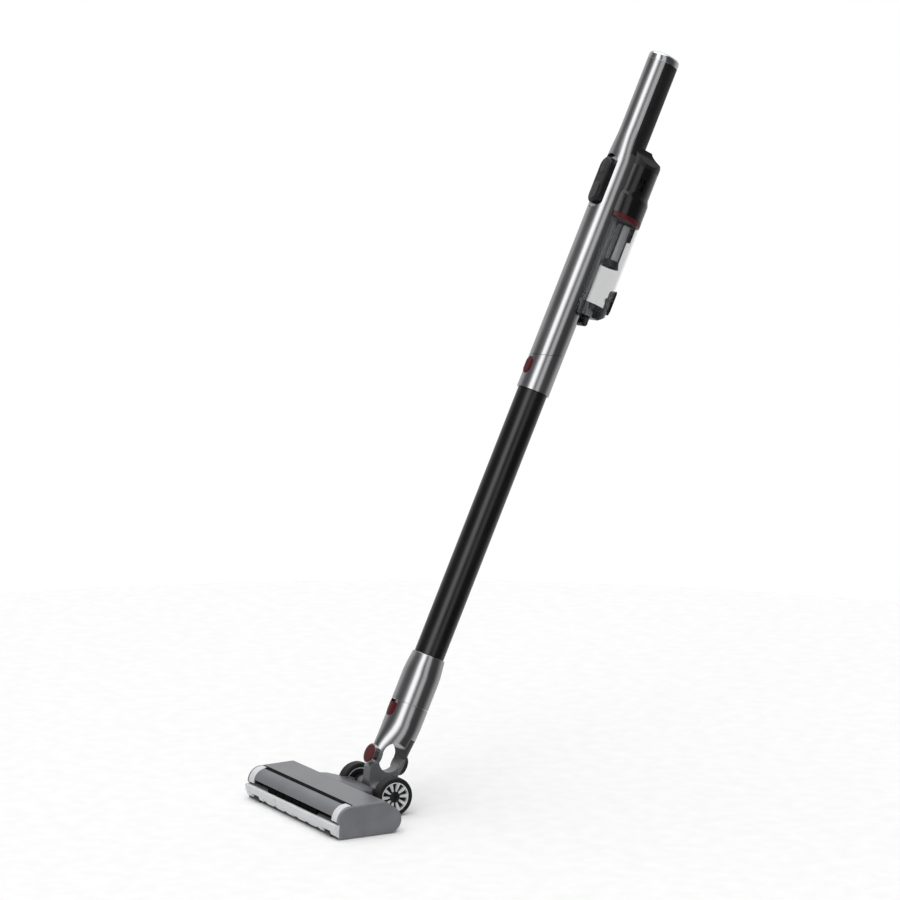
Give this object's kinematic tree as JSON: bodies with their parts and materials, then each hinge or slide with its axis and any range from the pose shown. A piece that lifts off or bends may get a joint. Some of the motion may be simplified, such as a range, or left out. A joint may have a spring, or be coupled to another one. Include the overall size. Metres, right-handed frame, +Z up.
{
  "type": "cordless stick vacuum",
  "caption": "Upright cordless vacuum: slim silver handset with clear dust cup, black extension tube, and a wide powered floor head on a swivel neck with rear wheels.",
  "frame": {"origin": "on the floor, straight below the middle of the wheel axle", "axes": "+Z up; +X along the floor head and the wheel axle; -Y is the way the head is pushed, so the handset leans towards +Y"},
  "size_m": [0.25, 0.5519, 0.9252],
  "materials": {
    "silver_paint": "satin metallic",
    "white_cap": "glossy",
    "soft_grip": "fine matt texture",
    "black_gloss": "glossy",
    "black_satin": "satin",
    "dark_grey": "satin",
    "mid_grey": "satin",
    "light_grey": "glossy",
    "dark_red": "glossy",
    "red_seal": "matt",
    "clear_smoke": "clear moulded",
    "smoke_door": "smoked moulded",
    "board_green": "solder mask",
    "steel": "plain",
    "mesh_steel": "perforated",
    "cell_wrap": "shrink film",
    "holder": "plain",
    "filter": "felt",
    "rubber": "matt",
    "tube_black": "gloss black",
    "cover_grey": "satin metallic",
    "bristle": "nylon tufts",
    "roll_red": "satin",
    "tyre": "matt"
  },
  "bodies": {
    "handset": {"main_shell": "silver_paint", "pipe_end_collar": "silver_paint", "rear_grip": "soft_grip", "handle_end_cap": "white_cap", "control_panel": "black_satin", "control_board": "board_green", "display_window": "black_gloss", "motor_housing": "black_gloss", "housing_top_cover": "black_satin", "suction_motor": "steel", "premotor_filter": "filter", "battery_cells": "cell_wrap", "battery_holder": "holder", "charge_socket": "black_satin", "inlet_duct": "black_satin", "housing_screws": "steel", "wand_release_spring": "steel"},
    "fan": {"impeller": "dark_grey"},
    "power_key": {"power_button": "dark_grey"},
    "mode_key": {"mode_button": "dark_grey"},
    "wand_key": {"wand_release_button": "dark_red"},
    "cup_key": {"cup_release_button": "dark_grey"},
    "cup": {"cup_shell": "clear_smoke", "cup_seal_ring": "red_seal", "cyclone_mesh": "mesh_steel", "cyclone_frame": "black_satin", "hinge_pins": "steel"},
    "door": {"cup_door": "smoke_door", "door_seal": "rubber"},
    "latch": {"door_latch": "black_gloss"},
    "wand": {"wand_tube": "tube_black", "wand_upper_plug": "dark_grey", "wand_lower_plug": "dark_grey", "connector_sleeve": "silver_paint"},
    "fork": {"connector_fork": "silver_paint", "swivel_front_cap": "dark_red", "swivel_rear_cap": "mid_grey"},
    "head_key": {"head_release_button": "dark_red"},
    "neck": {"neck_yoke": "mid_grey"},
    "head": {"head_base": "dark_grey", "head_top_cover": "cover_grey", "roller_cover": "cover_grey", "end_bands": "light_grey", "side_caps": "mid_grey", "front_lip": "light_grey", "sole_plate": "black_satin", "led_bar": "black_gloss", "led_lenses": "clear_smoke", "brush_motor": "steel", "drive_belt": "rubber", "wheel_axle": "steel", "head_screws": "steel"},
    "brush": {"brush_core": "roll_red", "brush_bristles": "bristle"},
    "pulley": {"motor_pulley": "steel"},
    "left_wheel": {"left_rim": "light_grey", "left_tyre": "tyre"},
    "right_wheel": {"right_rim": "light_grey", "right_tyre": "tyre"},
    "rollers": {"front_rollers": "black_satin"}
  },
  "joints": [
    {"name": "impeller_spin", "type": "hinge", "parent": "handset", "child": "fan", "pos_m": [0, 0.36963, 0.73455], "axis": [0, 0.4179, 0.9085], "continuous": true},
    {"name": "power_press", "type": "slide", "parent": "handset", "child": "power_key", "axis": [0, 0.9085, -0.4179], "range_m": [0, 0.0008], "stiffness_N_per_m": 600},
    {"name": "mode_press", "type": "slide", "parent": "handset", "child": "mode_key", "axis": [0, 0.9085, -0.4179], "range_m": [0, 0.0008], "stiffness_N_per_m": 600},
    {"name": "wand_release_press", "type": "slide", "parent": "handset", "child": "wand_key", "axis": [0, 0.9085, -0.4179], "range_m": [0, 0.0015], "stiffness_N_per_m": 600, "deforming": ["wand_release_spring"]},
    {"name": "cup_release_press", "type": "slide", "parent": "handset", "child": "cup_key", "axis": [1, 0, 0], "range_m": [0, 0.0015], "stiffness_N_per_m": 600},
    {"name": "cup_slide", "type": "slide", "parent": "handset", "child": "cup", "axis": [0, -0.4179, -0.9085], "range_m": [0, 0.08]},
    {"name": "cup_door_hinge", "type": "hinge", "parent": "cup", "child": "door", "pos_m": [0, 0.29336, 0.58691], "axis": [-1, 0, 0], "range_deg": [0, 80]},
    {"name": "door_latch_hinge", "type": "hinge", "parent": "cup", "child": "latch", "pos_m": [0, 0.33566, 0.61259], "axis": [1, 0, 0], "range_deg": [0, 5], "stiffness_Nm_per_rad": 0.15},
    {"name": "wand_pull", "type": "slide", "parent": "handset", "child": "wand", "axis": [0, -0.4179, -0.9085], "range_m": [0, 0.06]},
    {"name": "head_pull", "type": "slide", "parent": "wand", "child": "fork", "axis": [0, -0.4179, -0.9085], "range_m": [0, 0.04]},
    {"name": "head_release_press", "type": "slide", "parent": "fork", "child": "head_key", "axis": [0, 0.9085, -0.4179], "range_m": [0, 0.0015], "stiffness_N_per_m": 600},
    {"name": "swivel", "type": "hinge", "parent": "fork", "child": "neck", "pos_m": [0, 0.01842, 0.05735], "axis": [0, 0.9085, -0.4179], "range_deg": [-35, 35]},
    {"name": "pitch", "type": "hinge", "parent": "neck", "child": "head", "pos_m": [0, 0, 0.024], "axis": [1, 0, 0], "range_deg": [-24.7, 50]},
    {"name": "left_wheel_spin", "type": "hinge", "parent": "head", "child": "left_wheel", "pos_m": [0, 0, 0.024], "axis": [1, 0, 0], "continuous": true},
    {"name": "right_wheel_spin", "type": "hinge", "parent": "head", "child": "right_wheel", "pos_m": [0, 0, 0.024], "axis": [1, 0, 0], "continuous": true},
    {"name": "front_roller_spin", "type": "hinge", "parent": "head", "child": "rollers", "pos_m": [0, -0.1106, 0.004], "axis": [1, 0, 0], "continuous": true},
    {"name": "brush_spin", "type": "hinge", "parent": "head", "child": "brush", "pos_m": [0, -0.093, 0.0165], "axis": [1, 0, 0], "continuous": true},
    {"name": "motor_pulley_spin", "type": "hinge", "parent": "head", "child": "pulley", "pos_m": [0, -0.058, 0.0195], "axis": [1, 0, 0], "continuous": true}
  ],
  "couplings": [
    {"joint": "motor_pulley_spin", "follows": "brush_spin", "ratio": 2}
  ]
}
